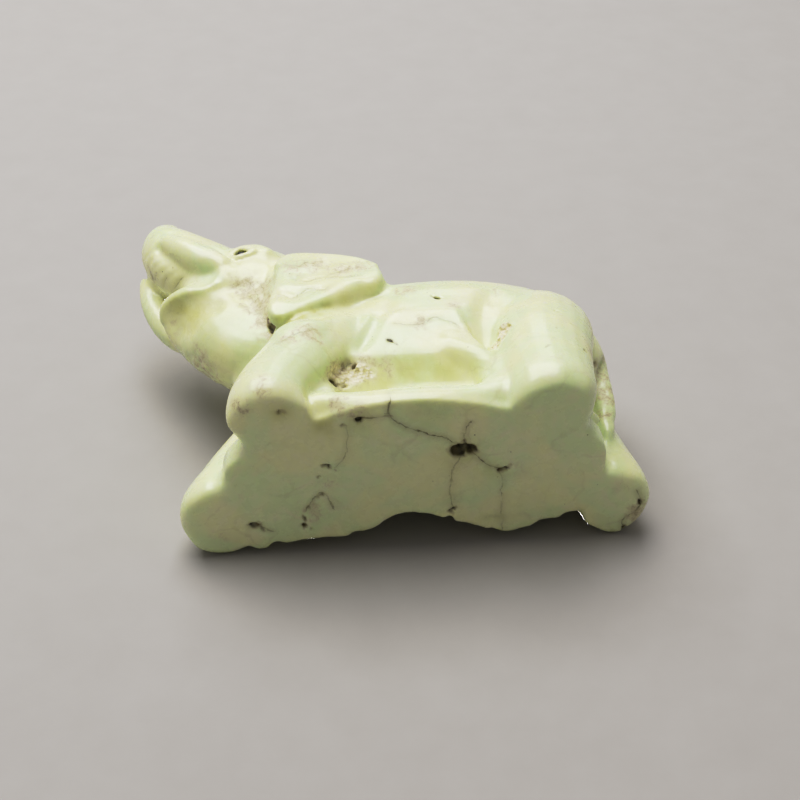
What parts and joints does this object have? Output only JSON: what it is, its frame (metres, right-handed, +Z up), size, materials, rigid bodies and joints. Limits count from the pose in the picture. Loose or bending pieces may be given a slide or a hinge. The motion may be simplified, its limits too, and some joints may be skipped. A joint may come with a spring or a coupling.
{
  "type": "carved stone elephant figurine",
  "caption": "Small carved green stone elephant with raised trunk, tusks and bead eyes, standing on a thin plinth.",
  "frame": {"origin": "on the flat sole of the plinth, under the middle of the body", "axes": "+Z up, -X the way the head points, -Y the elephant's left side"},
  "size_m": [0.0592, 0.0229, 0.0468],
  "materials": {
    "stone": "waxy hand polish, pale yellow-green with tan matrix",
    "eye_bead": "glossy opaque black",
    "cement": "matte set resin"
  },
  "bodies": {
    "root": {"stone_carving": "stone", "left_eye": "eye_bead", "right_eye": "eye_bead", "left_eye_cement": "cement", "right_eye_cement": "cement"}
  },
  "joints": []
}
